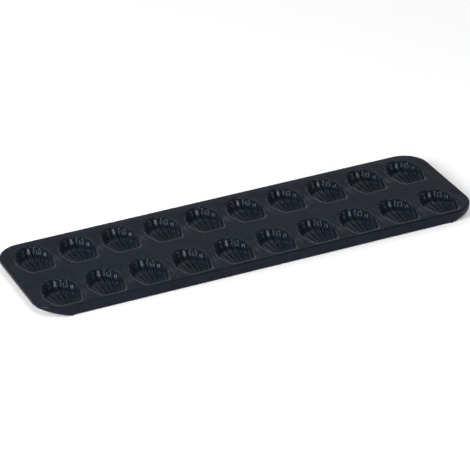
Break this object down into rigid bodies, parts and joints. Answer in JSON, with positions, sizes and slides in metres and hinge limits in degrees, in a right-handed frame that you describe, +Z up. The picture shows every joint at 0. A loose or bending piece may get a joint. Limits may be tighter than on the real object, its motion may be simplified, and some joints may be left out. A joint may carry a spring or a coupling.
{
  "type": "madeleine pan",
  "caption": "Long, narrow steel baking pan with two rows of ten fluted shell moulds, rounded corners, short end lips and long sides turned down and rolled over a wire.",
  "frame": {"origin": "middle of the pan's outline, at the level that it stands on", "axes": "+X along the length, +Y from the front edge to the back edge, which the moulds' round ends face, +Z up"},
  "size_m": [0.395, 0.115, 0.01],
  "materials": {
    "nonstick_steel": "satin dark blue-black non-stick coating on pressed steel",
    "wire_steel": "drawn bright steel wire"
  },
  "bodies": {
    "root": {"pressed_sheet": "nonstick_steel", "front_edge_wire": "wire_steel", "back_edge_wire": "wire_steel"}
  },
  "joints": []
}
